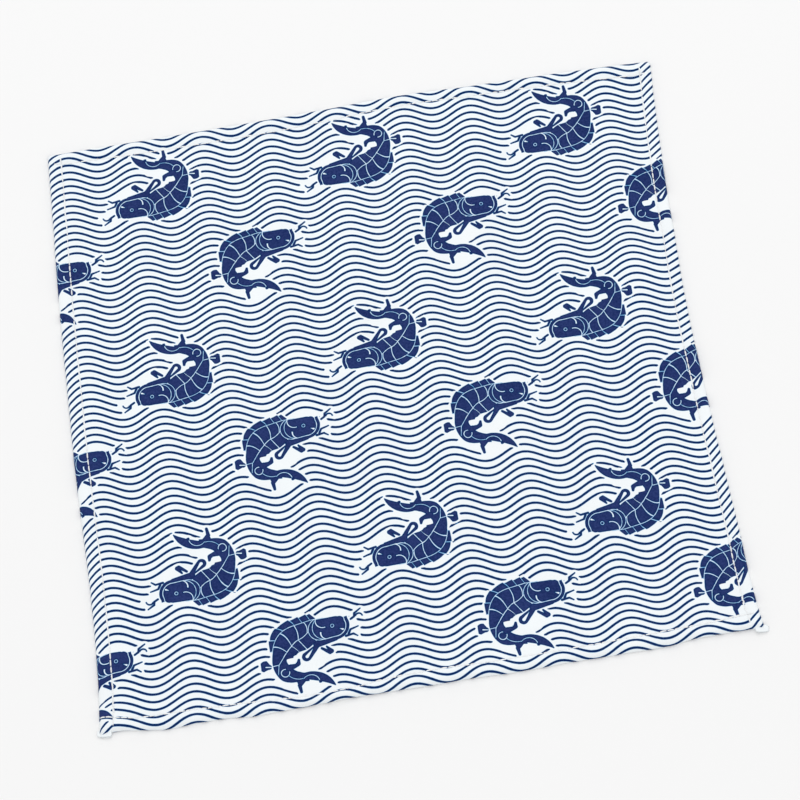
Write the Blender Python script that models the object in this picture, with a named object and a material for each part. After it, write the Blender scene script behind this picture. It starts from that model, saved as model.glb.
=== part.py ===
# Towel handkerchief: one square of cotton towelling, hemmed on its four sides, lying flat and face up.
# Metres, +Z up. X runs along the near and far sides, Y from the near side to the far one.
import math

import bmesh
import bpy

MM = 0.001

SIDE = 250 * MM  # finished width and length, before the sides bow
BODY_THICK = 1.6 * MM  # towelling, pressed by its own weight
CORNER_RADIUS = 1.6 * MM  # of the outline, where two hems cross
CORNER_RISE = 0.35 * MM  # the extra layers under a corner
CORNER_REACH = 5 * MM  # how far that rise spreads
CORNER_INSET = 3.2 * MM  # its highest spot, from both sides
UNDER_INSET = 0.55 * MM  # the round lower edge tucks under by this much
BODY_STEP = 19 * MM  # spacing of the mesh between the hems
RIGID_BAND = 10 * MM  # a hem moves as one with its side, and the body takes up the bow

# The hem from its outer edge inwards: distance in from the edge, height of the top face, both in mm.
# It is folded double, so it stands above the body, and the row of sewing draws it down.
HEM_SECTION = (
    # inset, height
    (0.00, 1.15),
    (0.30, 1.85),
    (0.95, 2.30),
    (2.20, 2.40),
    (3.60, 2.20),
    (4.60, 1.62),
    (5.40, 1.70),
    (6.80, 1.60),
)

# How far each side stands out from a true square, in mm, at shares of its length.
# Left and right are read from the far end to the near one, far and near from left to right.
SIDE_BOW = (
    # share, left, right, far, near
    (0.00, 0.4, 0.6, 0.5, 0.2),
    (0.08, 0.5, -0.9, 0.9, 0.4),
    (0.20, 1.0, -2.6, 1.0, 0.9),
    (0.32, 1.2, -3.6, 1.4, 1.2),
    (0.45, 1.0, -4.4, 2.1, 0.4),
    (0.58, 0.7, -3.9, 3.2, 0.5),
    (0.70, -0.3, -3.0, 2.5, 0.5),
    (0.82, -0.9, -1.9, 2.2, 0.1),
    (0.92, -0.5, -1.4, 1.7, -0.1),
    (1.00, 0.7, 0.3, 1.0, 0.7),
)
LEFT, RIGHT, FAR, NEAR = 1, 2, 3, 4  # columns of SIDE_BOW

COTTON = (0.90, 0.93, 0.96, 1.0)
COTTON_ROUGHNESS = 0.95


def clear_scene():
    for item in list(bpy.data.objects):
        bpy.data.objects.remove(item)


def bow(side, share):
    """How far a side stands out at a share of its length, on a smooth curve through its rows."""
    rows = SIDE_BOW
    row = max(i for i in range(len(rows) - 1) if i == 0 or rows[i][0] <= share)
    before, start, end, after = (rows[min(max(row + k, 0), len(rows) - 1)] for k in (-1, 0, 1, 2))
    span = end[0] - start[0]
    t = (share - start[0]) / span
    slope_in = (end[side] - before[side]) / (end[0] - before[0]) * span
    slope_out = (after[side] - start[side]) / (after[0] - start[0]) * span
    return MM * (
        (2 * t**3 - 3 * t**2 + 1) * start[side]
        + (t**3 - 2 * t**2 + t) * slope_in
        + (3 * t**2 - 2 * t**3) * end[side]
        + (t**3 - t**2) * slope_out
    )


def hem_height(inset):
    """Height of the top face at a distance in from the nearest side."""
    for (inset_a, height_a), (inset_b, height_b) in zip(HEM_SECTION, HEM_SECTION[1:]):
        if inset <= inset_b * MM:
            share = (inset / MM - inset_a) / (inset_b - inset_a)
            return MM * (height_a + share * (height_b - height_a))
    return BODY_THICK


def stations():
    """Places of the mesh lines across the cloth, from one side to the other."""
    hem = [inset * MM for inset, height in HEM_SECTION]
    count = round((SIDE - 2 * hem[-1]) / BODY_STEP)
    step = (SIDE - 2 * hem[-1]) / count
    body = [hem[-1] + step * (i + 1) for i in range(count - 1)]
    return hem + body + [SIDE - inset for inset in reversed(hem)]


def rounded(across, down):
    """A place in the square, with the square's corners rounded off."""
    turn_x = 1 if across < SIDE / 2 else -1
    turn_y = 1 if down < SIDE / 2 else -1
    inset_x = min(across, SIDE - across)
    inset_y = min(down, SIDE - down)
    if inset_x >= CORNER_RADIUS or inset_y >= CORNER_RADIUS:
        return across, down
    p = CORNER_RADIUS - inset_x
    q = CORNER_RADIUS - inset_y
    shrink_p = math.sqrt(1 - q**2 / (2 * CORNER_RADIUS**2))
    shrink_q = math.sqrt(1 - p**2 / (2 * CORNER_RADIUS**2))
    return across + turn_x * p * (1 - shrink_p), down + turn_y * q * (1 - shrink_q)


def spread(place):
    """0 on the first hem, 1 on the opposite one, and even between them."""
    return min(max((place - RIGID_BAND) / (SIDE - 2 * RIGID_BAND), 0), 1)


def plan_place(across, down):
    """X and Y of a place in the cloth, with its sides bowed as they lie."""
    across, down = rounded(across, down)
    left = bow(LEFT, down / SIDE)
    right = bow(RIGHT, down / SIDE)
    far = bow(FAR, across / SIDE)
    near = bow(NEAR, across / SIDE)
    x = across - SIDE / 2 - left * (1 - spread(across)) + right * spread(across)
    y = SIDE / 2 - down + far * (1 - spread(down)) - near * spread(down)
    return x, y


def top_height(across, down):
    inset_x = min(across, SIDE - across)
    inset_y = min(down, SIDE - down)
    off_corner = math.hypot(inset_x - CORNER_INSET, inset_y - CORNER_INSET)
    rise = CORNER_RISE * math.exp(-((off_corner / CORNER_REACH) ** 2))
    edge_share = min(min(inset_x, inset_y) / CORNER_INSET, 1)
    return hem_height(min(inset_x, inset_y)) + rise * edge_share


def round_the_rim(count):
    """Row and column of each mesh line end round the outline, once round."""
    last = count - 1
    rim = [(0, i) for i in range(last)]
    rim += [(i, last) for i in range(last)]
    rim += [(last, last - i) for i in range(last)]
    rim += [(last - i, 0) for i in range(last)]
    return rim


def tucked(place):
    """A place drawn in from the outline by UNDER_INSET."""
    return min(max(place, UNDER_INSET), SIDE - UNDER_INSET)


def cloth_mesh():
    lines = stations()
    count = len(lines)
    shape = bmesh.new()
    top = []
    for down in lines:
        row = []
        for across in lines:
            x, y = plan_place(across, down)
            row.append(shape.verts.new((x, y, top_height(across, down))))
        top.append(row)
    for i in range(count - 1):
        for j in range(count - 1):
            shape.faces.new((top[i][j], top[i + 1][j], top[i + 1][j + 1], top[i][j + 1]))
    rim = round_the_rim(count)
    base = []
    for i, j in rim:
        x, y = plan_place(tucked(lines[j]), tucked(lines[i]))
        base.append(shape.verts.new((x, y, 0.0)))
    for k, (i, j) in enumerate(rim):
        i2, j2 = rim[(k + 1) % len(rim)]
        shape.faces.new((top[i][j], top[i2][j2], base[(k + 1) % len(rim)], base[k]))
    shape.faces.new(base)
    centre_on_origin(shape)
    bmesh.ops.triangulate(shape, faces=shape.faces[:])
    bmesh.ops.recalc_face_normals(shape, faces=shape.faces[:])
    mesh = bpy.data.meshes.new("handkerchief")
    shape.to_mesh(mesh)
    shape.free()
    return mesh


def centre_on_origin(shape):
    """Moves the cloth so that the middle of its outline's box is at X and Y zero."""
    xs = [vert.co.x for vert in shape.verts]
    ys = [vert.co.y for vert in shape.verts]
    middle_x = (min(xs) + max(xs)) / 2
    middle_y = (min(ys) + max(ys)) / 2
    for vert in shape.verts:
        vert.co.x -= middle_x
        vert.co.y -= middle_y


def cotton_material():
    material = bpy.data.materials.new("printed_cotton")
    material.use_nodes = True
    shader = material.node_tree.nodes["Principled BSDF"]
    shader.inputs["Base Color"].default_value = COTTON
    shader.inputs["Roughness"].default_value = COTTON_ROUGHNESS
    shader.inputs["Metallic"].default_value = 0.0
    return material


def make_handkerchief():
    cloth = bpy.data.objects.new("handkerchief", cloth_mesh())
    cloth.data.materials.append(cotton_material())
    cloth.data.shade_smooth()
    cloth.data.set_sharp_from_angle(angle=math.radians(40))
    bpy.context.scene.collection.objects.link(cloth)


clear_scene()
make_handkerchief()
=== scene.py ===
import math

import bmesh
import bpy
from mathutils import Matrix, Vector, noise


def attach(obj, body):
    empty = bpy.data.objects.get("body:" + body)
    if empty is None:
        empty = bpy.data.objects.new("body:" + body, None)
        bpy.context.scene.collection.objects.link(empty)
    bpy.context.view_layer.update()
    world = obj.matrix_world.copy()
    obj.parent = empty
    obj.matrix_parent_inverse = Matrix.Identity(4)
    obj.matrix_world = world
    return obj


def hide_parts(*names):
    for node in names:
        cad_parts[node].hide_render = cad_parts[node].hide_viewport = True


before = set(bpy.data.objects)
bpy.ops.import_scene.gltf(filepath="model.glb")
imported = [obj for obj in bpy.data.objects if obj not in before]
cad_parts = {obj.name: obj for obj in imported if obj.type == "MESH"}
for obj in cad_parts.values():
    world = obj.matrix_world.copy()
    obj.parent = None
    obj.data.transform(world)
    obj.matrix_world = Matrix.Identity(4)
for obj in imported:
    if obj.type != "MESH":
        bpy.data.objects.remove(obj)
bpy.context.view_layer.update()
mm = 0.001

# Camera first: a long lens, held a little turned, looking down on the cloth from its near side
view = {
    "azimuth": 2.46,  # degrees to the right of straight in front
    "elevation": 65.43,
    "roll": -11.26,
    "distance": 0.99474,  # metres
    "target": (0.00399, -0.0094, 0.0014),
    "lens": 114.75,  # mm, on the sensor below
    "sensor": 36,
}


def addObject(name, data):
    thing = bpy.data.objects.new(name, data)
    bpy.context.scene.collection.objects.link(thing)
    return thing


def makeCamera():
    lens = bpy.data.cameras.new("camera")
    lens.lens = view["lens"]
    lens.sensor_width = view["sensor"]
    lens.clip_start = 0.05
    lens.clip_end = 20
    camera = addObject("camera", lens)
    place = Matrix.Translation(view["target"])
    for degrees, axis in ((view["azimuth"], "Z"), (90 - view["elevation"], "X"), (view["roll"], "Z")):
        place = place @ Matrix.Rotation(math.radians(degrees), 4, axis)
    camera.matrix_world = place @ Matrix.Translation((0, 0, view["distance"]))
    bpy.context.scene.camera = camera


makeCamera()
print("camera placed")


# Numbers in node trees. A Wire is the output of a node, and sums of Wires add Math nodes,
# so the shapes of the print read as formulas.
class Wire:
    def __init__(self, socket):
        self.tree = socket.id_data
        self.socket = socket

    def __add__(self, other):
        return mathNode("ADD", self, other)

    def __sub__(self, other):
        return mathNode("SUBTRACT", self, other)

    def __rsub__(self, other):
        return mathNode("SUBTRACT", other, self)

    def __mul__(self, other):
        return mathNode("MULTIPLY", self, other)

    def __truediv__(self, other):
        return mathNode("DIVIDE", self, other)

    def __neg__(self):
        return mathNode("MULTIPLY", self, -1.0)


def addNode(tree, kind):
    node = tree.nodes.new(kind)
    count = len(tree.nodes)
    node.location = (190 * (count % 20), -190 * (count // 20))
    return node


def nodeWith(kind, *values):
    # a node in the tree of the first Wire among the values
    return addNode(next(value.tree for value in values if isinstance(value, Wire)), kind)


def feed(socket, value):
    if isinstance(value, Wire):
        value.tree.links.new(value.socket, socket)
    else:
        socket.default_value = value


def setInputs(node, values):
    for label, value in values.items():
        feed(node.inputs[label], value)


def newMaterial(name):
    material = bpy.data.materials.new(name)
    material.use_nodes = True
    return material, material.node_tree.nodes["Principled BSDF"]


def mathNode(operation, *values):
    node = nodeWith("ShaderNodeMath", *values)
    node.operation = operation
    for socket, value in zip(node.inputs, values):
        feed(socket, value)
    return Wire(node.outputs[0])


def rangeNode(value, low, high, kind):
    node = nodeWith("ShaderNodeMapRange", value)
    node.interpolation_type = kind
    setInputs(node, {"Value": value, "From Min": low, "From Max": high})
    return Wire(node.outputs["Result"])


def ramp(value, low, high):
    return rangeNode(value, low, high, "LINEAR")


def rise(value, low, high):
    return rangeNode(value, low, high, "SMOOTHSTEP")


def steps(value, start, *moves):
    # starts at start and changes smoothly by each move's last number, between its first two
    total = start
    for low, high, change in moves:
        total = rise(value, low, high) * change + total
    return total


def absolute(value):
    return mathNode("ABSOLUTE", value)


def root(value):
    return mathNode("SQRT", value)


def sine(value):
    return mathNode("SINE", value)


def cosine(value):
    return mathNode("COSINE", value)


def wrapped(value, low, high):
    return mathNode("WRAP", value, high, low)


def over(value, limit):
    return mathNode("GREATER_THAN", value, limit)


def least(first, *others):
    for other in others:
        first = mathNode("MINIMUM", first, other)
    return first


def most(first, *others):
    for other in others:
        first = mathNode("MAXIMUM", first, other)
    return first


def mixNode(factor, low, high, kind, lowSocket, outSocket):
    node = nodeWith("ShaderNodeMix", factor)
    node.data_type = kind
    for index, value in ((0, factor), (lowSocket, low), (lowSocket + 1, high)):
        feed(node.inputs[index], value)
    return Wire(node.outputs[outSocket])


def choose(mask, low, high):
    return mixNode(mask, low, high, "FLOAT", 2, 0)


def mixColor(factor, low, high):
    return mixNode(factor, low, high, "RGBA", 6, 2)


def length2(x, y):
    return root(x * x + y * y)


def disc(x, y, centreX, centreY, radius):
    return length2(x - centreX, y - centreY) - radius


def straightStroke(x, y, startX, startY, endX, endY, startHalf, endHalf):
    # distance to a line with round ends that swells from one half width to the other
    runX = endX - startX
    runY = endY - startY
    size = runX * runX + runY * runY
    run = ramp((x - startX) * (runX / size) + (y - startY) * (runY / size), 0.0, 1.0)
    offX = x - startX - run * runX
    offY = y - startY - run * runY
    return length2(offX, offY) - (run * (endHalf - startHalf) + startHalf)


def turnedBy(x, y, angle):
    # how far a place lies along a direction, and how far beside it
    along = x * math.cos(angle) + y * math.sin(angle)
    return along, y * math.cos(angle) - x * math.sin(angle)


def curvedStroke(x, y, centreX, centreY, radius, fromTurn, toTurn, startHalf, endHalf, swell=0.0):
    # the same along an arc, from one turn in degrees to the other
    middle = math.radians((fromTurn + toTurn) / 2)
    half = math.radians(abs(toTurn - fromTurn) / 2)
    hand = 1.0 if toTurn > fromTurn else -1.0
    offX = x - centreX
    offY = y - centreY
    along, beside = turnedBy(offX, offY, middle)
    turn = mathNode("ARCTAN2", beside * hand, along)
    run = ramp(turn, -half, half)
    halfWidth = run * (endHalf - startHalf) + startHalf
    if swell:
        halfWidth = run * (1.0 - run) * (4 * swell) + halfWidth
    return most(absolute(length2(offX, offY) - radius) - halfWidth, (absolute(turn) - half) * radius)


def newGroup(name, inputs, outputs):
    # an input of None is a vector, the rest are floats
    tree = bpy.data.node_groups.new(name, "ShaderNodeTree")
    for label, value in inputs.items():
        kind = "NodeSocketVector" if value is None else "NodeSocketFloat"
        socket = tree.interface.new_socket(name=label, in_out="INPUT", socket_type=kind)
        if value is not None:
            socket.default_value = value
    for label in outputs:
        tree.interface.new_socket(name=label, in_out="OUTPUT", socket_type="NodeSocketFloat")
    entry = addNode(tree, "NodeGroupInput")
    leave = addNode(tree, "NodeGroupOutput")
    return {socket.name: Wire(socket) for socket in entry.outputs if socket.name}, leave


def groupNode(name, **values):
    node = nodeWith("ShaderNodeGroup", *values.values())
    node.node_tree = bpy.data.node_groups[name]
    setInputs(node, values)
    return {socket.name: Wire(socket) for socket in node.outputs}


def splitVector(wire):
    node = nodeWith("ShaderNodeSeparateXYZ", wire)
    feed(node.inputs[0], wire)
    return Wire(node.outputs[0]), Wire(node.outputs[1])


def joinVector(x, y):
    node = nodeWith("ShaderNodeCombineXYZ", x)
    setInputs(node, {"X": x, "Y": y})
    return Wire(node.outputs[0])


def cloudNoise(place, size, detail=2.0, rough=0.5):
    # soft noise of about the given size, in the units of place, around zero
    node = nodeWith("ShaderNodeTexNoise", place)
    setInputs(node, {"Vector": place, "Scale": 1 / size, "Detail": detail, "Roughness": rough})
    return Wire(node.outputs["Fac"]) - 0.5


# A pale floor, an even white sky and two soft boxes
studio = {
    "floorColor": (0.862, 0.862, 0.862, 1),
    "floorReach": 3.0,  # metres to each side
    "skyStrength": 0.84,
    "keyPlace": (0.15, 1.35, 1.75),  # a large soft box beyond the far side
    "keySize": 1.5,
    "keyPower": 11.5,
    "fillPlace": (0.2, -1.1, 2.2),
    "fillSize": 2.4,
    "fillPower": 8.0,
}


def aimedLight(name, place, size, power):
    lamp = bpy.data.lights.new(name, "AREA")
    lamp.shape = "SQUARE"
    lamp.size = size
    lamp.energy = power
    light = addObject(name, lamp)
    light.location = place
    light.rotation_euler = (-Vector(place)).to_track_quat("-Z", "Y").to_euler()


def makeStudio():
    scene = bpy.context.scene
    scene.view_settings.view_transform = "Standard"
    scene.view_settings.look = "None"
    world = bpy.data.worlds.new("studio")
    world.use_nodes = True
    setInputs(world.node_tree.nodes["Background"], {"Color": (1, 1, 1, 1), "Strength": studio["skyStrength"]})
    scene.world = world
    aimedLight("keySoftBox", studio["keyPlace"], studio["keySize"], studio["keyPower"])
    aimedLight("fillSoftBox", studio["fillPlace"], studio["fillSize"], studio["fillPower"])
    reach = studio["floorReach"]
    sheet = bpy.data.meshes.new("floor")
    corners = [(-reach, -reach, 0), (reach, -reach, 0), (reach, reach, 0), (-reach, reach, 0)]
    sheet.from_pydata(corners, [], [(0, 1, 2, 3)])
    paper, shader = newMaterial("studioPaper")
    setInputs(shader, {"Base Color": studio["floorColor"], "Roughness": 0.9, "Specular IOR Level": 0.1})
    sheet.materials.append(paper)
    addObject("floor", sheet)


makeStudio()
print("floor and lights placed")

# The carp of the print, drawn along its bent back line, all in mm: head to the left, tail over it
carp = {
    "headRun": 19,  # length of the straight part behind the nose
    "turnRadius": 8.8,  # the body bends round a point
    "turnPoint": (2, 4.3),
    "headTurn": -81,  # degrees
    "tailTurn": 85,
    "length": 46.6,
    "bodyStart": 10.8,
    "scaleEnd": 28.8,
    "lineHalf": 0.21,  # the pale lines between the scales
    "backScale": (14.9, 3.9),  # first line and length of a scale
    "backCurve": 0.5,
    "bellyScales": (14, 19.3, 23.8),
    "bellySlant": 0.46,
    "rowEnd": 29.8,
    "rim": 0.36,  # and the ones beside the head and the fins
    "collarRim": 0.34,
    "finRim": 0.3,
    "jawRim": 0.4,
    "eyeHalf": 0.16,
    "fanEnd": 18,
    # what changes along the body: its first value, then from, to and change
    "back": (2, (-1, 4, 1.6), (5, 13, 1.3), (21.5, 30, -2.1), (37, 44, -2.2)),
    "belly": (
        3.7,
        (10.8, 17.5, 2.1),
        (25.5, 28.4, -0.8),
        (29.4, 30.8, -2.5),
        (31.5, 36, 0.7),
        (42, 46, -0.4),
    ),
    "rowLine": (3.5, (9, 18.4, -4.4), (17.5, 24, -1.2), (26, 31, 0.9)),
    "finHeight": (3, (24, 28.4, -1.5)),
    "finTooth": 3.1,
    "finRun": (10, 28.1),
    "finLean": (0.35, 0.75),  # of its rays and of its front
    "rayHalf": 0.14,
    "headFloor": 10.2,
    # middle and radius, along the body and out from its back line
    "collar": (9.8, 0.5, 4.3),
    "eye": (5.1, 0.1, 0.62),
    "ring": (36.6, -0.2, 1.6),
    "lip": (0.96, 0.54, 2.0, 9.4),  # off the head, half width, how far out and along it goes
}

# Strokes, each with x and y of both ends and the half width there
carpStrokes = {
    "head": ((4.1, -0.4, 7.9, 0.5, 3.9, 4.6),),  # this one and the mouth lie along the body
    "mouth": ((1.6, -2.6, 2.7, -1.9, 0.42, 0.1),),
    "pinch": ((8.4, 1.5, 11.2, 5.4, 0.2, 0.17), (11.2, 5.4, 14.2, 5.7, 0.17, 0.2)),
    "scaleEdge": ((11.9, 9.4, 11.3, 5.5, 0.14, 0.19),),
    "chin": ((-13.9, -6.9, -13.2, -8.1, 1.3, 1.9),),
    "jaw": ((-11, -1.5, -3.8, -0.4, 1, 1.4),),
    "breastFin": ((-3.6, 0.5, 0.5, 3.9, 0.9, 1.85),),
    "breastFinHole": ((-2, 1.2, 0.4, 3.9, 0.1, 0.72),),
    "cheekFin": ((-8.9, 3.4, -7.3, 1.2, 0.86, 0.3), (-8.3, 3.8, -5.4, 1.6, 0.72, 0.42)),
    "bellyFin": ((3.7, 4.7, 4, 6.2, 0.45, 0.8), (4.3, 6.4, 7.6, 7.3, 0.8, 1.3)),
    "bellyFinHole": ((5.2, 5.7, 6.8, 5.7, 0.3, 0.3),),
    "fanFin": ((15, 5.7, 16.4, 5.2, 0.95, 2.2),),
    "fanFinHole": ((13.8, 5.9, 16.2, 5.5, 0.2, 0.3),),
    "tailSpikes": (
        (-3.6, 14.9, -3.3, 14.9, 0.4, 0.45),
        (3.6, 12.7, 4.3, 15.4, 2.1, 0.5),
        (4.5, 15, 4.1, 17.8, 0.7, 0.48),
    ),
    "feelers": (
        (-16.1, -2.3, -17, -3.9, 0.42, 0.36),
        (-17, -3.9, -20, -4.7, 0.36, 0.22),
        (-15, -1.6, -17.9, -2, 0.42, 0.34),
        (-17.9, -2, -19.4, -0.9, 0.34, 0.22),
        (-17.6, -8, -19, -8.8, 0.36, 0.38),
        (-19, -8.8, -19.2, -10.1, 0.38, 0.36),
        (-19.2, -10.1, -21.6, -11.6, 0.38, 0.22),
    ),
    # these two have no ink, the wave lines only stop earlier there
    "uprightRoom": (
        (-2.4, 8.6, 6, 8.2, 0.2, 1.2),
        (-18, -1.6, -13, -1.4, 0.3, 0.3),
        (-15.6, 0.2, -10, 2.4, 0.5, 0.4),
        (-16, -10.6, -18.2, -10.9, 0.2, 0.2),
        (9, -10.6, 10.6, -10.6, 0.5, 0.2),
        (-22.6, -8.6, -19, -8.4, 0.8, 0.8),
        (5, 4.3, 7.6, 3.9, 0.6, 0.6),
    ),
    "turnedRoom": (
        (-3.6, 16.7, 2.4, 18.6, 0.3, 0.3),
        (-3.4, 15.8, 2, 15, 0.5, 0.5),
        (5.6, 15.4, 9.4, 14, 0.9, 0.6),
        (13.2, 8.4, 15.8, 8.3, 0.4, 0.4),
        (-4.2, 7.2, 2.6, 7.8, 0.8, 1.4),
        (-5.6, 3.9, -2.4, 4.7, 0.6, 0.6),
        (-6.6, 5.3, -4.8, 5.6, 0.4, 0.4),
        (12.2, 11.9, 12.9, 11.9, 0.1, 0.1),
        (3, 3.2, 7.6, 3.9, 0.7, 0.6),
        (-14.5, -11, -7.5, -11.2, 0.5, 0.6),
        (-18.4, -5.4, -18.6, -9, 0.3, 0.3),
    ),
}

# Arcs, each with x and y of the middle, radius, turn at both ends in degrees and the half width
# there. The tail's leaf also swells between its ends
carpArcs = {
    "cheekHook": (7.6, -1.9, 2.5, -95, 25, 0.16, 0.34),  # this one and the notch lie along the body
    "cheekNotch": (7.9, 3.4, 2.9, -95, 40, 0.22, 0.24),
    "tailLeaf": (2.47, 25.47, 13.88, -86, -144.5, 1, 0.1, 1.15),
    "tailVeinA": (3.6, 6.9, 5.6, 38, 98, 0.16, 0.16),
    "tailVeinB": (0.2, 14.9, 3.4, -40, -168, 0.16, 0.2),
    "lowFeeler": (-20.7, -8.3, 1.45, -25, -172, 0.34, 0.2),
}


def alongBody(x, y):
    # how far along the back line a place is, and how far out towards the back
    start = math.radians(carp["headTurn"])
    end = math.radians(carp["tailTurn"])
    middle = (start + end) / 2
    radius = carp["turnRadius"]
    offX = x - carp["turnPoint"][0]
    offY = y - carp["turnPoint"][1]
    facing, beside = turnedBy(offX, offY, middle)
    turn = mathNode("ARCTAN2", beside, facing) + middle
    headOut, headRun = turnedBy(offX, offY, start)
    tailOut, tailRun = turnedBy(offX, offY, end)
    headRun = headRun + carp["headRun"]
    bentRun = (turn - start) * radius + carp["headRun"]
    tailRun = tailRun + (carp["headRun"] + (end - start) * radius)
    onHead = 1.0 - over(turn, start)
    onTail = over(turn, end)
    run = choose(onTail, choose(onHead, bentRun, headRun), tailRun)
    out = choose(onTail, choose(onHead, length2(offX, offY), headOut), tailOut) - radius
    return run, out


def strokeShape(name, x, y):
    return least(*[straightStroke(x, y, *row) for row in carpStrokes[name]])


def arcShape(name, x, y):
    return curvedStroke(x, y, *carpArcs[name])


def drawCarp(x, y):
    # distance to the ink and to the outline, below zero inside
    run, out = alongBody(x, y)
    half = carp["lineHalf"]
    pale = carp["rim"]

    # the trunk with its two rows of scales
    back = steps(run, *carp["back"])
    belly = steps(run, *carp["belly"])
    overBack = out - back
    trunk = most(overBack, -out - belly, carp["bodyStart"] - run, run - carp["length"])
    rowSplit = steps(run, *carp["rowLine"])
    rowLine = most(absolute(out - rowSplit) - half, run - carp["rowEnd"])
    outerRow = over(out, rowSplit)
    centred = (out - rowSplit) / (back - rowSplit) * 2.0 - 1.0
    first, length = carp["backScale"]
    curved = run - first + (1.0 - centred * centred) * carp["backCurve"]
    backLine = absolute(wrapped(curved, -length / 2, length / 2))
    slanted = run - out * carp["bellySlant"]
    bellyLine = least(*[absolute(slanted - place) for place in carp["bellyScales"]])
    scaleLine = most(choose(outerRow, bellyLine, backLine) - half, run - carp["scaleEnd"])
    ring = absolute(disc(run, out, *carp["ring"])) - half
    lines = least(scaleLine, rowLine, ring, strokeShape("pinch", x, y), strokeShape("scaleEdge", x, y))
    ink = most(trunk, -lines)

    # the toothed fin along the back
    finHeight = steps(run, *carp["finHeight"])
    finTooth = carp["finTooth"]
    rayLean, frontLean = carp["finLean"]
    slant = run - overBack * rayLean
    tooth = wrapped(slant, 0.0, finTooth) / finTooth
    finStart, finEnd = carp["finRun"]
    finEnds = most(finStart - run + overBack * frontLean, run - finEnd)
    fin = most(overBack - finHeight + tooth * 0.5, finEnds, -overBack - 1.0)
    clear = least(trunk, fin)
    rays = absolute(wrapped(slant, -finTooth / 2, finTooth / 2)) - carp["rayHalf"]
    ink = least(ink, most(fin, pale - overBack, -rays))

    # head, collar and lip
    headFloor = -y - carp["headFloor"]
    head = most(least(strokeShape("head", run, out), strokeShape("chin", x, y)), headFloor)
    collar = most(disc(run, out, *carp["collar"]), headFloor - 0.2)
    cover = least(head, collar)
    ink = least(most(ink, pale - cover), most(collar, carp["collarRim"] - head), head)
    cheekLines = least(arcShape("cheekHook", run, out), arcShape("cheekNotch", run, out))
    eye = absolute(disc(run, out, *carp["eye"])) - carp["eyeHalf"]
    ink = most(ink, -least(cheekLines, eye, strokeShape("mouth", run, out)))
    lipOff, lipHalf, lipOut, lipRun = carp["lip"]
    lip = most(absolute(head - lipOff) - lipHalf, out - lipOut, run - lipRun)
    lip = least(lip, most(strokeShape("jaw", x, y), carp["jawRim"] - cover))
    clear = least(clear, cover, lip)

    # the other fins, tail and feelers
    breast = strokeShape("breastFin", x, y)
    fin = least(lip, most(breast, -strokeShape("breastFinHole", x, y)))
    ink = least(most(ink, pale - breast), most(fin, carp["finRim"] - cover))
    cheek = strokeShape("cheekFin", x, y)
    tail = least(arcShape("tailLeaf", x, y), strokeShape("tailSpikes", x, y))
    bellyFin = strokeShape("bellyFin", x, y)
    ink = least(ink, cheek, tail, most(bellyFin, -strokeShape("bellyFinHole", x, y)))
    ink = most(ink, -least(arcShape("tailVeinA", x, y), arcShape("tailVeinB", x, y)))
    fan = most(strokeShape("fanFin", x, y), x - carp["fanEnd"])
    feelers = least(arcShape("lowFeeler", x, y), strokeShape("feelers", x, y))
    ink = least(ink, most(fan, -strokeShape("fanFinHole", x, y)), feelers)
    return ink, least(clear, breast, cheek, tail, bellyFin, fan, feelers)


def buildCarpGroup():
    given, leave = newGroup("carpMotif", {"X": 0.0, "Y": 0.0}, ("Ink Distance", "Clear Distance"))
    ink, clear = drawCarp(given["X"], given["Y"])
    setInputs(leave, {"Ink Distance": ink, "Clear Distance": clear})


# The whole print, in mm from the far left corner: wave lines, and carp in two staggered rows
# that face each other
waves = {
    "pitch": 3.105,  # from line to line
    "length": 27.46,
    "height": 2.45,
    "crest": 34.46,
    "firstLine": 0.48,
    "lineHalf": 0.41,
    "inkSpread": 0.055,  # the ink runs this far past the drawn shapes
    "stray": 0.16,  # and its edge wanders by this
    "straySize": 1.3,
    "clear": 0.9,  # white left round a carp
    "repeatAcross": 82.4,
    "repeatDown": 83.84,
    "firstCarp": (42.3, 22.4),
    "turnedCarp": (36.5, 36.6),  # from a carp to the turned one below it
    "rowSplit": (-23.6, 18.3),  # rows that hold the upright carp, from its middle
}


def buildPrintGroup():
    given, leave = newGroup("waveAndCarpPrint", {"Place": None, "Bleed": 0.06}, ("Ink", "Solid"))
    x, down = splitVector(given["Place"])
    acrossHalf = waves["repeatAcross"] / 2
    low, high = waves["rowSplit"]
    cellDown = wrapped(down - waves["firstCarp"][1], low, low + waves["repeatDown"])
    turned = over(cellDown, high)
    upX = wrapped(x - waves["firstCarp"][0], -acrossHalf, acrossHalf)
    turnedX = wrapped(x - (waves["firstCarp"][0] + waves["turnedCarp"][0]), -acrossHalf, acrossHalf)
    carpX = choose(turned, upX, -turnedX)
    carpY = choose(turned, -cellDown, cellDown - waves["turnedCarp"][1])
    motif = groupNode("carpMotif", X=carpX, Y=carpY)
    ink = motif["Ink Distance"]
    room = choose(turned, strokeShape("uprightRoom", carpX, carpY), strokeShape("turnedRoom", carpX, carpY))
    clear = least(motif["Clear Distance"], room)

    rate = 2 * math.pi / waves["length"]
    phase = (x - waves["crest"]) * rate
    lineDown = cosine(phase) * waves["height"] + (down - waves["firstLine"])
    slope = sine(phase) * (waves["height"] * rate)
    offLine = absolute(wrapped(lineDown, -waves["pitch"] / 2, waves["pitch"] / 2))
    offLine = offLine / root(slope * slope + 1.0)
    room = ramp(clear - waves["clear"], 0.0, waves["lineHalf"])
    lineHalf = root(room) * waves["lineHalf"]
    line = most(offLine - lineHalf, waves["clear"] - clear)
    distance = least(line, ink) - waves["inkSpread"]
    stray = cloudNoise(given["Place"], waves["straySize"]) * waves["stray"]
    inked = (distance + stray) / given["Bleed"]
    setInputs(leave, {"Ink": ramp(-inked, -1.0, 1.0), "Solid": ramp(-ink, 0.1, 0.6)})


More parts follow.
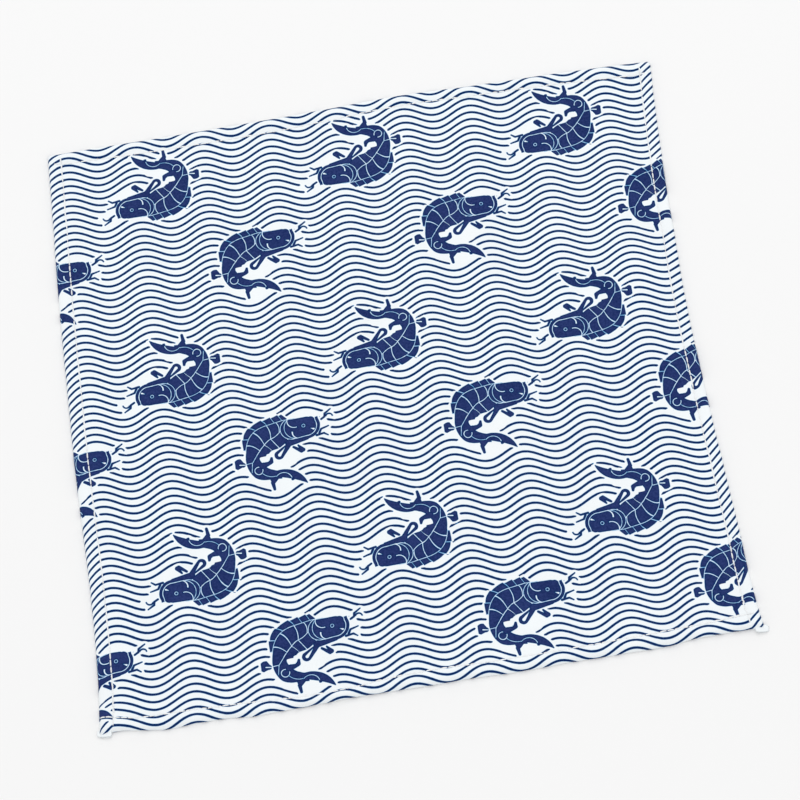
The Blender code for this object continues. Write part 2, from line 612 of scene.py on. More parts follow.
def buildWeaveGroup():
    given, leave = newGroup("plainWeave", {"Place": None, "Thread": 0.42}, ("Height", "Thread Shade"))
    x, y = splitVector(given["Place"])
    wander = cloudNoise(given["Place"], 2.2) * 0.35
    x = (x + wander) / given["Thread"]
    y = (y + wander) / given["Thread"]
    sideways = wrapped(x, -0.5, 0.5)
    lengthways = wrapped(y, -0.5, 0.5)
    overUnder = sine(x * math.pi) * sine(y * math.pi) * 0.5 + 0.5
    warp = (1.0 - sideways * sideways * 4.0) * overUnder
    weft = (1.0 - lengthways * lengthways * 4.0) * (1.0 - overUnder)
    slub = cloudNoise(given["Place"], 0.9, 3.0, 0.6)
    setInputs(leave, {"Height": most(warp, weft) + slub * 0.5, "Thread Shade": slub + 0.5})


def buildPileGroup():
    given, leave = newGroup("towelLoops", {"Place": None, "Loop": 0.9}, ("Height", "Loop Painted Shade"))
    x, y = splitVector(given["Place"])
    wander = cloudNoise(given["Place"], 1.6) * 1.2
    place = joinVector((x + wander) / given["Loop"], (y * 0.7 + wander) / given["Loop"])
    cell = nodeWith("ShaderNodeTexVoronoi", place)
    cell.feature = "SMOOTH_F1"
    setInputs(cell, {"Vector": place, "Smoothness": 0.25, "Scale": 1.0})
    loopTop = 1.0 - Wire(cell.outputs["Distance"])
    fuzz = cloudNoise(given["Place"], 0.25, 3.0, 0.7)
    # the loops' tops give the height, and also the mask for painted shade in the gaps between the loops
    setInputs(leave, {"Height": loopTop + fuzz * 0.4, "Loop Painted Shade": loopTop})


buildCarpGroup()
buildPrintGroup()
buildWeaveGroup()
buildPileGroup()
print("print and weave groups built:", len(bpy.data.node_groups["carpMotif"].nodes), "nodes in the carp")


def uvPlace(material, name):
    node = addNode(material.node_tree, "ShaderNodeUVMap")
    node.uv_map = name
    return Wire(node.outputs[0])


def objectPlace(material):
    # object coordinates in mm
    source = addNode(material.node_tree, "ShaderNodeTexCoord")
    node = addNode(material.node_tree, "ShaderNodeMapping")
    setInputs(node, {"Vector": Wire(source.outputs["Object"]), "Scale": (1000, 1000, 1000)})
    return Wire(node.outputs[0])


def bumpFrom(height, strength, distance):
    node = nodeWith("ShaderNodeBump", height)
    setInputs(node, {"Height": height, "Strength": strength, "Distance": distance})
    return Wire(node.outputs[0])


cotton = {
    "white": (0.855, 0.892, 0.91, 1),
    "whiteShade": (0.815, 0.852, 0.876, 1),
    "navyEdge": (0.06, 0.36, 0.72, 1),  # thin ink, where it creeps into the threads
    "navyLine": (0.001, 0.017, 0.095, 1),
    "navySolid": (0.006, 0.0185, 0.098, 1),
    "navyWorn": (0.024, 0.043, 0.165, 1),
    "bleed": 0.13,  # mm
    "thread": 0.42,
    "weaveBump": 0.35,
    "weaveDepth": 0.00008,  # metres
    "sheen": 0.04,
}


def makeCottonMaterial():
    material, shader = newMaterial("printed_cotton_cloth")
    place = uvPlace(material, "print")
    inked = groupNode("waveAndCarpPrint", Place=place, Bleed=cotton["bleed"])
    weave = groupNode("plainWeave", Place=place, Thread=cotton["thread"])
    height = weave["Height"]
    shade = weave["Thread Shade"]
    cloudy = cloudNoise(place, 14.0, 3.0) + 0.5
    dull = ramp(cloudy * 0.6 + shade * 0.4, 0.62, 0.3)
    worn = ramp(shade * 0.7 + cloudy * 0.3, 0.36, 0.66)
    white = mixColor(dull, cotton["white"], cotton["whiteShade"])
    solid = mixColor(worn, cotton["navySolid"], cotton["navyWorn"])
    navy = mixColor(inked["Solid"], cotton["navyLine"], solid)
    color = mixColor(ramp(inked["Ink"], 0.0, 0.45), white, cotton["navyEdge"])
    color = mixColor(ramp(inked["Ink"], 0.3, 0.85), color, navy)
    setInputs(shader, {
        "Base Color": color,
        "Roughness": height * -0.06 + 0.92,
        "Normal": bumpFrom(height, cotton["weaveBump"], cotton["weaveDepth"]),
        "Specular IOR Level": 0.1,
        "Sheen Weight": cotton["sheen"],
        "Sheen Roughness": 0.5,
    })
    return material


pile = {
    "white": (0.87, 0.885, 0.89, 1),
    # painted shade: the darker colour painted into the gaps between the loops
    "shade": (0.66, 0.69, 0.71, 1),
    "loop": 0.95,  # mm
    "loopBump": 0.9,
    "loopDepth": 0.0005,  # metres
    "sheen": 0.2,
    "top": 1.15,  # mm, inside the woven ground
    "rest": 0.12,  # mm above the surface
    "inset": 6.1,
    "rows": 176,
    "rim": 0.35,  # mm, how far in and up its outermost loops stand
}


def makePileMaterial():
    material, shader = newMaterial("cotton_towelling")
    loops = groupNode("towelLoops", Place=objectPlace(material), Loop=pile["loop"])
    # painted shade: the base colour darkens from the loop tops into the gaps between them
    shade = loops["Loop Painted Shade"]
    setInputs(shader, {
        "Base Color": mixColor(ramp(shade, 0.2, 0.75), pile["shade"], pile["white"]),
        "Roughness": shade * -0.05 + 0.97,
        "Normal": bumpFrom(loops["Height"], pile["loopBump"], pile["loopDepth"]),
        "Specular IOR Level": 0.15,
        "Sheen Weight": pile["sheen"],
    })
    return material


sewing = {
    "inset": 5.2,  # mm from the side to the row
    "pitch": 2.754,  # hole to hole
    "firstHole": 0.5,  # nearest that a row comes to the corner
    "stitches": 88,
    "backStitches": 5,  # where the row ends
    "gap": 0.04,  # mm from a hole's middle to the thread
    # share of a stitch, how high the thread stands over the cloth, and its thickness
    "line": ((0, -0.12, 0.6), (0.16, 0.06, 0.95), (0.5, 0.17, 1.1), (0.84, 0.06, 0.95), (1, -0.12, 0.6)),
    "threadHalf": 0.27,
    "threadFlat": 0.7,
    "threadSides": 6,
    "color": (0.91, 0.925, 0.935, 1),
    # painted shade: the darker colour painted into the grooves of the twist
    "paintedTwistShade": (0.81, 0.83, 0.845, 1),
    "twist": 0.32,  # mm of thread to a turn
    "twistBump": 0.6,
    "twistDepth": 0.00006,  # metres
}


def makeThreadMaterial():
    material, shader = newMaterial("white_sewing_thread")
    x, y = splitVector(uvPlace(material, "thread"))
    # the twist's stripes, used for the bump and to paint shade into the grooves between the strands
    strands = sine((x / sewing["twist"] + y * 2.0) * (2 * math.pi)) * 0.5 + 0.5
    setInputs(shader, {
        "Base Color": mixColor(strands, sewing["paintedTwistShade"], sewing["color"]),
        "Roughness": strands * -0.1 + 0.7,
        "Normal": bumpFrom(strands, sewing["twistBump"], sewing["twistDepth"]),
        "Specular IOR Level": 0.3,
    })
    return material


# The cloth lies as the hemmed square of the CAD, in mm from its far left corner until it is placed
cloth = {
    "side": 250,
    "cornerRadius": 1.6,
    "rigidBand": 10,  # a hem moves as one with its side
    "rollReach": 4.6,
    "bodyStep": 1.377,  # half a stitch
    "hemLines": (0, 0.12, 0.35, 0.7, 1.2, 1.9, 2.7, 3.5, 4.2, 4.8, 5.2, 5.6, 6.05),
    # inset, height of the face, pressed flat at three sides, and rounder at the near one
    "face": ((0, 0.5, 0.4), (0.12, 1.15, 0.74), (0.35, 1.6, 1.1), (0.7, 1.92, 1.5), (1.2, 2.1, 1.86),
             (1.9, 2.18, 2.12), (2.7, 2.2, 2.2), (3.6, 2.12, 2.12), (4.6, 1.84, 1.84), (5.2, 1.6, 1.6),
             (5.6, 1.68, 1.68), (6.8, 1.62, 1.62), (9, 1.6, 1.6)),
    # inset, height of the back
    "back": ((0, 0.4), (0.12, 0.2), (0.35, 0.09), (0.7, 0.04), (1.2, 0.02), (2.7, 0.02), (4.2, 0.12),
             (5.2, 0.34), (5.6, 0.24), (6.05, 0.5), (6.577, 0.9), (9, 0.9)),
    "nearSection": (14, 10),  # mm off the near side where its rounder section begins, and over what run
    "cornerRise": 0.35,
    "cornerReach": 5,
    "cornerInset": 3.2,
    "ripple": 0.16,  # height of the slow unevenness of the body
    "pucker": 0.05,  # and of the gathers along the sewing
    "puckerReach": 2.4,
    "holeDip": 0.05,  # how deep the holes pull the row
    "holeReach": 0.55,
    # share of the length, how far the left, right, far and near side stand out from a square
    "bow": ((0, 0.4, 0.6, 0.5, 0.2), (0.08, 0.5, -0.9, 0.9, 0.4), (0.2, 1, -2.6, 1, 0.9),
            (0.32, 1.2, -3.6, 1.4, 1.2), (0.45, 1, -4.4, 2.1, 0.4), (0.58, 0.7, -3.9, 3.2, 0.5),
            (0.7, -0.3, -3, 2.5, 0.5), (0.82, -0.9, -1.9, 2.2, 0.1), (0.92, -0.5, -1.4, 1.7, -0.1),
            (1, 0.7, 0.3, 1, 0.7)),
    "edgeWander": 0.14,  # small bends of the sides
    # share of the length, how far in the rows of sewing run: at the left and right, far and near side
    "sideRows": ((0, 5.6, 4.8), (0.2, 5.7, 4.8), (0.5, 5.7, 4.6), (0.8, 5.5, 4.8), (1, 5.5, 4.8)),
    "farRow": ((0, 5), (0.1, 5.9), (0.25, 6.4), (0.36, 6.5), (0.46, 5.9), (0.56, 5.2), (0.66, 5),
               (0.78, 5.1), (0.88, 5.7), (1, 6.2)),
    "nearRow": ((0, 7.9), (0.01, 7.7), (0.032, 6.9), (0.065, 5.7), (0.12, 5.75), (0.22, 5.3), (0.35, 4.3),
                (0.45, 5.4), (0.52, 5.8), (0.6, 5.4), (0.78, 5.5), (0.89, 5.8), (0.94, 6.5), (0.965, 7.2),
                (1, 7.8)),
    "rowReach": 14,  # the body takes up the difference by this inset
    # share of the near side, how far its edge is rolled under
    "nearRoll": ((0, 0.9), (0.015, 1.9), (0.035, 2.1), (0.06, 1.2), (0.1, 0), (0.15, 0.75), (0.19, 0.8),
                 (0.23, 0.1), (0.28, 0.5), (0.34, 0.8), (0.39, 0.9), (0.43, 0.5), (0.5, 0.2), (0.56, 0.5),
                 (0.62, 0.1), (0.7, 0.4), (0.78, 0.2), (0.86, 0), (0.89, 1), (0.94, 1.5), (0.98, 1.9),
                 (1, 1.9)),
    # the folded ends of the hems that show under both near corners, two layers each: x and y of the
    # middle in mm, half length and width, turn in degrees, heights of the lower and upper face and
    # how much higher the right end is than the middle
    "foldEnds": (
        (-123.2, -125.2, 2.6, 1.3, -8, 0.02, 0.25, 0),
        (-123.4, -125.1, 2.8, 1.25, -8, 0.75, 1.1, 0.3),
        (124.6, -124.3, 2.2, 1.3, -3, 0.02, 0.25, 0),
        (124.1, -124.2, 2.5, 1.4, -3, 0.75, 1.1, -0.4),
    ),
    "foldCorners": 28,  # points round a folded end
    "plainSpot": (43.3, 14.4),  # a white place of the print, mm
    "bakeMargin": 8.2,  # mm round the face in the flat layout, for the backs of the hems
    "bakeHidden": 5,  # mm of that layout for the back inside the pile, which never shows
    # how far each corner lies off the square, x to the right and y up, in the order
    # far left, far right, near right, near left
    "cornerPull": ((-0.12, 0.56), (0.46, -0.68), (-0.26, 0.81), (0.02, -0.73)),
    # share of the length from the left, lift of the near side
    "nearLift": ((0, 0.15), (0.06, 0.1), (0.15, 0), (0.3, 0.1), (0.42, 0.2), (0.55, 0.15), (0.7, 0.1),
                 (0.85, 0.15), (0.96, 0.2), (1, 0.3)),
    "liftReach": 14,
}

# How the print lies on the cloth, which was sewn and pressed a little out of true
printLay = {
    # share across or down, how far the wave lines sit below their place
    "downByAcross": ((0.02, 1.1), (0.1, 1.2), (0.2, 1.2), (0.32, 1), (0.45, 0.3), (0.6, -0.4),
                     (0.75, 0.3), (0.88, 0.3), (0.98, -0.3)),
    "downByDown": ((0.02, 0), (0.08, 0.5), (0.18, 0.8), (0.35, 1), (0.55, 0.8), (0.75, 0.6),
                   (0.9, 0.2), (0.98, -0.6)),
    # share down, how far the crests sit to the right, at the left and at the right side
    "rightByDown": ((0, 0.4, 2.7), (0.1, -0.2, 1.6), (0.25, -0.1, 0.7), (0.4, 0, 0.1), (0.5, 0.4, 0),
                    (0.6, 0.9, -0.2), (0.8, 1.7, 0.4), (1, 1.1, 1.6)),
    "rightMidway": 0.5,
    # share across and down of places that were pulled, how far that reaches, and the pull right and down
    "pulls": (
        (0.95, 0.12, 0.1, 0, 0.7), (0.94, 0.97, 0.09, 0, -1.1), (0.62, 0.95, 0.09, 0, 0.6),
        (0.46, 0.48, 0.07, 0, -0.6), (0.6, 0.48, 0.1, 0.3, -0.2), (0.8, 0.44, 0.07, 0, 0.4),
        (0.91, 0.36, 0.06, 0.2, -0.8), (0.82, 0.53, 0.08, -0.5, 0), (0.92, 0.62, 0.1, 0, 0.3),
        (0.8, 0.95, 0.05, 0, -0.4), (0.86, 0.86, 0.06, -0.4, 0.3), (0.56, 0.12, 0.09, 0.4, 0),
        (0.07, 0.48, 0.08, 0, 0.3), (0.07, 0.8, 0.07, 0, -0.4), (0.14, 0.9, 0.05, 0.3, -0.2),
        (0.04, 0.04, 0.06, 0, 0.3), (0.72, 0.05, 0.1, 0, -0.4), (0.47, 0.36, 0.06, 0, 0.4),
        (0.52, 0.14, 0.06, 0, 0.4), (0.01, 0.96, 0.03, -1.5, -0.4), (0.01, 0.962, 0.018, 0, -1.2),
        (0.99, 0.97, 0.025, 0.6, 0), (0.75, 0, 0.1, 0, -0.3),
    ),
    # share down, how much the lines lean more steeply in the left hem and in the right one
    "hemShear": ((0, 0.05, 0.3), (0.15, 0.1, 0.3), (0.3, 0.2, 0.15), (0.45, 0.3, 0.1), (0.6, 0.35, 0.3),
                 (0.75, 0.4, 0.4), (1, 0.35, 0.35)),
    "farJog": 0.25,  # the lines step a little at the far and near sewing
}


def clamp(value, low=0, high=1):
    return min(max(value, low), high)


def smoothTable(rows, share, column=1):
    # a smooth curve through the rows of a table
    last = len(rows) - 1
    share = clamp(share, rows[0][0], rows[last][0])
    row = max(i for i in range(last) if i == 0 or rows[i][0] <= share)
    before, start, end, after = (rows[clamp(row + k, 0, last)] for k in (-1, 0, 1, 2))
    span = end[0] - start[0]
    t = (share - start[0]) / span
    slopeIn = (end[column] - before[column]) / (end[0] - before[0]) * span
    slopeOut = (after[column] - start[column]) / (after[0] - start[0]) * span
    return (
        (2 * t**3 - 3 * t**2 + 1) * start[column]
        + (t**3 - 2 * t**2 + t) * slopeIn
        + (3 * t**2 - 2 * t**3) * end[column]
        + (t**3 - t**2) * slopeOut
    )


def straightTable(rows, value, column=1):
    if value <= rows[0][0]:
        return rows[0][column]
    for start, end in zip(rows, rows[1:]):
        if value <= end[0]:
            change = end[column] - start[column]
            return start[column] + change * (value - start[0]) / (end[0] - start[0])
    return rows[-1][column]


def softNoise(x, y, size, seed=0.0):
    return noise.noise(Vector((x / size, y / size, seed)))


def insets(across, down):
    side = cloth["side"]
    return min(across, side - across), min(down, side - down)


def roundedCorner(across, down):
    middle = cloth["side"] / 2
    radius = cloth["cornerRadius"]
    insetX, insetY = insets(across, down)
    if insetX >= radius or insetY >= radius:
        return across, down
    p = radius - insetX
    q = radius - insetY
    inX = p * (1 - math.sqrt(1 - q**2 / (2 * radius**2)))
    inY = q * (1 - math.sqrt(1 - p**2 / (2 * radius**2)))
    return across + math.copysign(inX, middle - across), down + math.copysign(inY, middle - down)


def spread(place):
    side = cloth["side"]
    band = cloth["rigidBand"]
    return clamp((place - band) / (side - 2 * band))


def hemWide(place, startRow, endRow):
    # moves a place so that the rows of sewing lie at their own distances from the two sides
    middle = cloth["side"] / 2
    inset = middle - abs(place - middle)
    row = startRow if place < middle else endRow
    reach = cloth["rowReach"]
    if inset < sewing["inset"]:
        moved = inset * row / sewing["inset"]
    elif inset < reach:
        moved = row + (inset - sewing["inset"]) * (reach - row) / (reach - sewing["inset"])
    else:
        return place
    return moved if place < middle else cloth["side"] - moved


def sideBow(column, along):
    return smoothTable(cloth["bow"], along / cloth["side"], column)


def planPlace(across, down):
    # place in the cloth to place on the table, both in mm from the square's far left corner, down positive
    side = cloth["side"]
    shareX = across / side
    shareY = down / side
    leftRow, rightRow = (smoothTable(cloth["sideRows"], shareY, column) for column in (1, 2))
    farRow, nearRow = (smoothTable(cloth[name], shareX) for name in ("farRow", "nearRow"))
    across, down = roundedCorner(hemWide(across, leftRow, rightRow), hemWide(down, farRow, nearRow))
    wander = cloth["edgeWander"]
    left = sideBow(1, down) + wander * softNoise(0, down, 7, 1.5)
    right = sideBow(2, down) + wander * softNoise(0, down, 7, 2.5)
    far = sideBow(3, across) + wander * softNoise(across, 0, 9, 3.5)
    near = sideBow(4, across) + wander * softNoise(across, 0, 9, 4.5)
    x = across - left * (1 - spread(across)) + right * spread(across)
    y = down - far * (1 - spread(down)) + near * spread(down)
    toNear = max(0.0, 1 - (side - down) / cloth["rollReach"])
    return x, y - toNear * smoothTable(cloth["nearRoll"], across / side)


def tablePlace(across, down):
    # place in the cloth to metres in the frame
    planX, planY = planPlace(across, down)
    side = cloth["side"]
    a = planX / side
    b = planY / side
    weights = ((1 - a) * (1 - b), a * (1 - b), a * b, (1 - a) * b)
    pullX, pullY = (sum(w * pull[k] for w, pull in zip(weights, cloth["cornerPull"])) for k in (0, 1))
    x = planX - side / 2 + pullX + clothShift[0]
    y = side / 2 - planY + pullY + clothShift[1]
    return x * mm, y * mm


def boxMiddle():
    # the CAD centres its outline on the origin, so the square's own middle lies a little off it
    shares = [i / 400 for i in range(401)]
    left, right, far, near = (
        max(smoothTable(cloth["bow"], share, column) for share in shares) for column in (1, 2, 3, 4)
    )
    return (left - right) / 2, (near - far) / 2


clothShift = boxMiddle()


def bodyRipple(across, down):
    insetX, insetY = insets(across, down)
    fade = min(min(insetX, insetY) / 18, 1)
    slow = softNoise(across, down, 34, 7.1) + 0.45 * softNoise(across, down, 13, 9.7)
    return cloth["ripple"] * slow * fade


def sewingPucker(across, down):
    # small gathers beside the row of sewing, and its dip at each hole
    insetX, insetY = insets(across, down)
    total = 0.0
    for inset, run, seed in ((insetX, down, 11.0), (insetY, across, 17.0)):
        offRow = inset - sewing["inset"]
        near = math.exp(-((offRow / cloth["puckerReach"]) ** 2))
        onRow = math.exp(-((offRow / cloth["holeReach"]) ** 2))
        hole = math.cos(2 * math.pi * (run - sewing["inset"]) / sewing["pitch"])
        total += near * cloth["pucker"] * (1.2 * softNoise(run, inset, 4.5, seed) - 0.5 * hole)
        total -= onRow * cloth["holeDip"] * (1 + hole)
    return total


def nearLift(across, down):
    far = cloth["side"] - down
    fade = max(0.0, 1 - far / cloth["liftReach"])
    return smoothTable(cloth["nearLift"], across / cloth["side"]) * fade * fade


def faceSection(inset, down):
    begin, run = cloth["nearSection"]
    toNear = clamp((down - cloth["side"] + begin) / run)
    flat, rounder = (straightTable(cloth["face"], inset, column) for column in (1, 2))
    return flat + (rounder - flat) * toNear


def faceHeight(across, down):
    insetX, insetY = insets(across, down)
    inset = min(insetX, insetY)
    offCorner = math.hypot(insetX - cloth["cornerInset"], insetY - cloth["cornerInset"])
    atCorner = cloth["cornerRise"] * math.exp(-((offCorner / cloth["cornerReach"]) ** 2))
    edgeShare = min(inset / cloth["cornerInset"], 1)
    height = faceSection(inset, down) + atCorner * edgeShare
    detail = min(inset / 1.5, 1) * sewingPucker(across, down)
    return height + detail + bodyRipple(across, down) + nearLift(across, down)


def backHeight(across, down):
    insetX, insetY = insets(across, down)
    inset = min(insetX, insetY)
    height = straightTable(cloth["back"], inset) + bodyRipple(across, down) + nearLift(across, down)
    return max(height, 0.005)


def drift(planX, planY):
    # how far the print sits to the right of its place and below it
    side = cloth["side"]
    a = planX / side
    b = planY / side
    below = smoothTable(printLay["downByAcross"], a) + smoothTable(printLay["downByDown"], b)
    left, right = (smoothTable(printLay["rightByDown"], b, column) for column in (1, 2))
    held = clamp(a)
    toRight = left + (right - left) * held + printLay["rightMidway"] * 4 * held * (1 - held)
    for atA, atB, reach, pullRight, pullDown in printLay["pulls"]:
        near = math.exp(-((a - atA) ** 2 + (b - atB) ** 2) / reach**2)
        toRight += pullRight * near
        below += pullDown * near
    return toRight, below


def overRim(inset, down):
    # how much longer the face is than its plan, from the row of sewing to a place in the hem
    row = sewing["inset"]
    if inset >= row:
        return 0.0
    places = [row + (inset - row) * k / 12 for k in range(13)]
    length = 0.0
    for a, b in zip(places, places[1:]):
        length += math.hypot(a - b, faceSection(a, down) - faceSection(b, down))
    return length - (row - inset)


def printPlace(across, down, wrapX=0.0, wrapY=0.0):
    # place in the print, mm. wrapX and wrapY are how far round the edge a place is, outwards
    side = cloth["side"]
    row = sewing["inset"]
    heldX = clamp(across, row, side - row)
    heldY = clamp(down, row, side - row)
    toRight, below = drift(*planPlace(heldX, heldY))
    planX, planY = planPlace(across, down)
    moreX = overRim(side - across, down) - overRim(across, down) + wrapX
    moreY = overRim(side - down, down) - overRim(down, down) + overRim(max(down, 0.5), down) + wrapY
    beyondX = across - heldX + moreX
    shear = smoothTable(printLay["hemShear"], down / side, 1 if across < side / 2 else 2)
    jog = clamp((down - heldY) / 0.4, -1) * printLay["farJog"]
    return planX - toRight + moreX + jog, planY - below + moreY + beyondX * shear


def meshLines():
    hem = list(cloth["hemLines"])
    inside = cloth["side"] - 2 * sewing["inset"]
    count = round(inside / cloth["bodyStep"])
    body = [sewing["inset"] + inside / count * i for i in range(1, count)]
    return hem + body + [cloth["side"] - inset for inset in reversed(hem)]


def roundTheEdge(inset):
    # length of cloth round the fold from the outermost line to a place on the back
    return inset + 0.25 * min(inset / 0.35, 1)


def bakePlace(face, across, down, middle):
    # one flat layout of the cloth: the face, and the backs of the hems unfolded outwards
    margin = cloth["bakeMargin"]
    side = cloth["side"]
    size = side + 2 * margin
    if face == "back":
        toSides = (middle[0], side - middle[0], middle[1], side - middle[1])
        nearest = min(toSides)
        if nearest > cloth["hemLines"][-1]:
            shrink = cloth["bakeHidden"] / side / size
            return across * shrink, down * shrink
        if nearest == toSides[0]:
            across = -roundTheEdge(across)
        elif nearest == toSides[1]:
            across = side + roundTheEdge(side - across)
        elif nearest == toSides[2]:
            down = -roundTheEdge(down)
        else:
            down = side + roundTheEdge(side - down)
    return (margin + across) / size, 1 - (margin + down) / size


def joinRings(shape, rings):
    # a closed tube through rings of points: its sides in order, and its two ends
    quads = []
    for ring, following in zip(rings, rings[1:]):
        for k in range(len(ring)):
            k2 = (k + 1) % len(ring)
            quad = shape.faces.new((ring[k], ring[k2], following[k2], following[k]))
            quad.smooth = True
            quads.append(quad)
    return quads, [shape.faces.new(rings[0][::-1]), shape.faces.new(rings[-1])]


def addFoldEnd(shape, printMap, bakeMap, midX, midY, halfLength, halfWidth, turn, low, high, tilt):
    # a small flat fold with a rounded outline, white as the turned ends of the hems are
    angle = math.radians(turn)
    count = cloth["foldCorners"]
    levels = ((0.5, low), (0.12, low + 0.1), (0.0, (low + high) / 2), (0.12, high - 0.1), (0.5, high))
    rings = []
    for inward, height in levels:
        ring = []
        for k in range(count):
            t = 2 * math.pi * k / count
            u = math.copysign(abs(math.cos(t)) ** 0.5, math.cos(t)) * (halfLength - inward)
            v = math.copysign(abs(math.sin(t)) ** 0.5, math.sin(t)) * (halfWidth - inward)
            x = midX + u * math.cos(angle) - v * math.sin(angle)
            y = midY + u * math.sin(angle) + v * math.cos(angle)
            ring.append(shape.verts.new((x * mm, y * mm, (height + tilt * u / halfLength) * mm)))
        rings.append(ring)
    quads, ends = joinRings(shape, rings)
    plainX, plainY = cloth["plainSpot"]
    for face in quads + ends:
        for loop in face.loops:
            offX = loop.vert.co.x / mm - midX
            offY = loop.vert.co.y / mm - midY
            loop[printMap].uv = (plainX + offX * 0.2, plainY + offY * 0.2)
            loop[bakeMap].uv = (0.005 + (offX + 4) * 0.001, 0.005 + (offY + 4) * 0.001)


def gridCells(last):
    # row and column of the corners of every cell of a square grid
    cells = []
    for i in range(last):
        for j in range(last):
            cells.append([(i, j), (i + 1, j), (i + 1, j + 1), (i, j + 1)])
    return cells


def finishPiece(name, shape, material, report):
    mesh = bpy.data.meshes.new(name)
    shape.to_mesh(mesh)
    shape.free()
    mesh.materials.append(material)
    print(report, len(mesh.polygons), "faces")
    return addObject(name, mesh)


def makeCloth():
    lines = meshLines()
    last = len(lines) - 1
    middle = cloth["side"] / 2
    shape = bmesh.new()
    printMap = shape.loops.layers.uv.new("print")
    bakeMap = shape.loops.layers.uv.new("OFBake")
    above = {}
    below = {}
    printOf = {}
    for i, down in enumerate(lines):
        for j, across in enumerate(lines):
            x, y = tablePlace(across, down)
            vert = shape.verts.new((x, y, faceHeight(across, down) * mm))
            printOf[vert] = printPlace(across, down)
            above[i, j] = vert
            below[i, j] = vert
            if i in (0, last) or j in (0, last):
                continue
            vert = shape.verts.new((x, y, backHeight(across, down) * mm))
            insetX, insetY = insets(across, down)
            inset = min(insetX, insetY)
            wrap = inset + roundTheEdge(inset) + overRim(0, down) - overRim(inset, down)
            wrapX = math.copysign(wrap, across - middle) if insetX <= insetY else 0.0
            wrapY = math.copysign(wrap, down - middle) if insetX > insetY else 0.0
            printOf[vert] = printPlace(across, down, wrapX, wrapY)
            below[i, j] = vert
    for cell in gridCells(last):
        i, j = cell[0]
        centre = ((lines[j] + lines[j + 1]) / 2, (lines[i] + lines[i + 1]) / 2)
        for kind, grid, order in (("face", above, cell), ("back", below, cell[::-1])):
            quad = shape.faces.new([grid[place] for place in order])
            quad.smooth = True
            for loop, (a, b) in zip(quad.loops, order):
                loop[printMap].uv = printOf[loop.vert]
                loop[bakeMap].uv = bakePlace(kind, lines[b], lines[a], centre)
    for fold in cloth["foldEnds"]:
        addFoldEnd(shape, printMap, bakeMap, *fold)
    return finishPiece("handkerchief_cloth", shape, makeCottonMaterial(), "cloth woven:")


def makePile():
    # the loops of the towelling, one layer between the hems, with its top hidden in the woven ground
    side = cloth["side"]
    inset = pile["inset"]
    rim = pile["rim"]
    step = (side - 2 * inset) / pile["rows"]
    lines = [inset, inset + rim] + [inset + step * i for i in range(1, pile["rows"])]
    lines += [side - inset - rim, side - inset]
    last = len(lines) - 1
    shape = bmesh.new()
    above = {}
    below = {}
    for i, down in enumerate(lines):
        for j, across in enumerate(lines):
            x, y = tablePlace(across, down)
            lift = nearLift(across, down)
            ripple = bodyRipple(across, down)
            above[i, j] = shape.verts.new((x, y, (pile["top"] + ripple + lift) * mm))
            tuft = 0.16 * softNoise(across, down, 1.1, 21.0) + 0.1 * softNoise(across, down, 2.6, 23.0)
            if i in (0, last) or j in (0, last):
                tuft = rim
            low = pile["rest"] + max(ripple * 0.4, -0.04) + lift + tuft
            below[i, j] = shape.verts.new((x, y, max(low, 0.005) * mm))
    for cell in gridCells(last):
        shape.faces.new([above[place] for place in cell])
        shape.faces.new([below[place] for place in reversed(cell)])
    around = [(0, k) for k in range(last)] + [(k, last) for k in range(last)]
    around += [(last, last - k) for k in range(last)] + [(last - k, 0) for k in range(last)]
    for place, following in zip(around, around[1:] + around[:1]):
        shape.faces.new((above[place], above[following], below[following], below[place]))
    for face in shape.faces:
        face.smooth = True
    return finishPiece("handkerchief_pile", shape, makePileMaterial(), "pile made:")


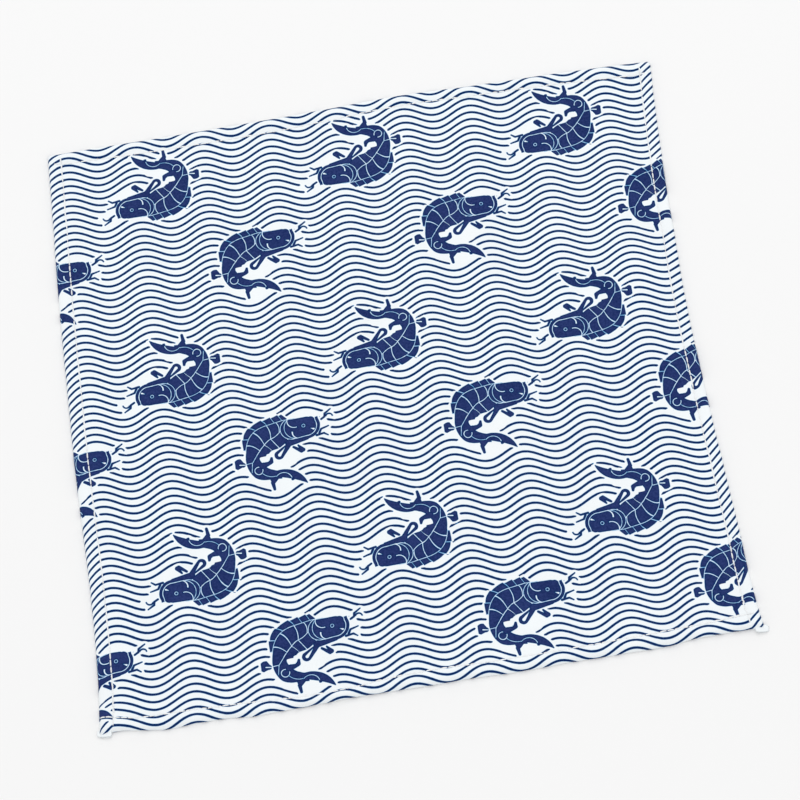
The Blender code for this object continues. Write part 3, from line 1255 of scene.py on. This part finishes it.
def sweepThread(shape, threadMap, points, radii):
    # a short length of thread through points given in metres
    sides = sewing["threadSides"]
    rings = []
    runs = []
    run = 0.0
    for k, (point, radius) in enumerate(zip(points, radii)):
        ahead = (points[min(k + 1, len(points) - 1)] - points[max(k - 1, 0)]).normalized()
        if k:
            run += (point - points[k - 1]).length / mm
        beside = ahead.cross(Vector((0, 0, 1))).normalized()
        above = beside.cross(ahead) * sewing["threadFlat"]
        ring = []
        for s in range(sides):
            turn = 2 * math.pi * s / sides
            ring.append(shape.verts.new(point + (beside * math.cos(turn) + above * math.sin(turn)) * radius))
        rings.append(ring)
        runs.append(run)
    quads, ends = joinRings(shape, rings)
    for n, quad in enumerate(quads):
        k, s = divmod(n, sides)
        for loop, (ring, turn) in zip(quad.loops, ((k, s), (k, s + 1), (k + 1, s + 1), (k + 1, s))):
            loop[threadMap].uv = (runs[ring], turn / sides)


def rowPlace(sideName, along, inset):
    side = cloth["side"]
    places = {
        "left": (inset, along),
        "right": (side - inset, along),
        "far": (along, inset),
        "near": (along, side - inset),
    }
    return places[sideName]


def stitchPath(sideName, start, end, inset, below):
    # centre line of one stitch, dipping into its holes at both ends
    points = []
    for share, lift, _ in sewing["line"]:
        across, down = rowPlace(sideName, start + (end - start) * share, inset)
        x, y = tablePlace(across, down)
        if below:
            z = max(backHeight(across, down) - 0.02 + (0.15 - lift) * 0.8, sewing["threadHalf"] * 0.85)
        else:
            z = faceHeight(across, down) + lift
        points.append(Vector((x, y, z * mm)))
    return points


def makeStitching():
    shape = bmesh.new()
    threadMap = shape.loops.layers.uv.new("thread")
    radii = [sewing["threadHalf"] * thickness * mm for _, _, thickness in sewing["line"]]
    pitch = sewing["pitch"]
    firstInset = sewing["inset"]
    gap = sewing["gap"]
    seed = 0
    for sideName in ("left", "right", "far", "near"):
        for k in range(-2 if sideName == "near" else -1, sewing["stitches"]):
            start = max(firstInset + k * pitch, sewing["firstHole"]) + gap
            end = firstInset + (k + 1) * pitch - gap
            seed += 1
            inset = firstInset + 0.07 * softNoise(seed * 3.7, 0.5, 1.0, 31.0)
            for below in (False, True):
                sweepThread(shape, threadMap, stitchPath(sideName, start, end, inset, below), radii)
        for k in range(sewing["backStitches"]):
            start = cloth["side"] - firstInset - (k + 1.5) * pitch
            path = stitchPath(sideName, start, start + pitch * 0.8, firstInset + 0.32 - 0.05 * k, False)
            sweepThread(shape, threadMap, path, radii)
    return finishPiece("handkerchief_stitching", shape, makeThreadMaterial(), "hems sewn:")


clothPiece = makeCloth()
pilePiece = makePile()
stitchPiece = makeStitching()
for piece in (clothPiece, pilePiece, stitchPiece):
    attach(piece, "root")
    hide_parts("handkerchief")
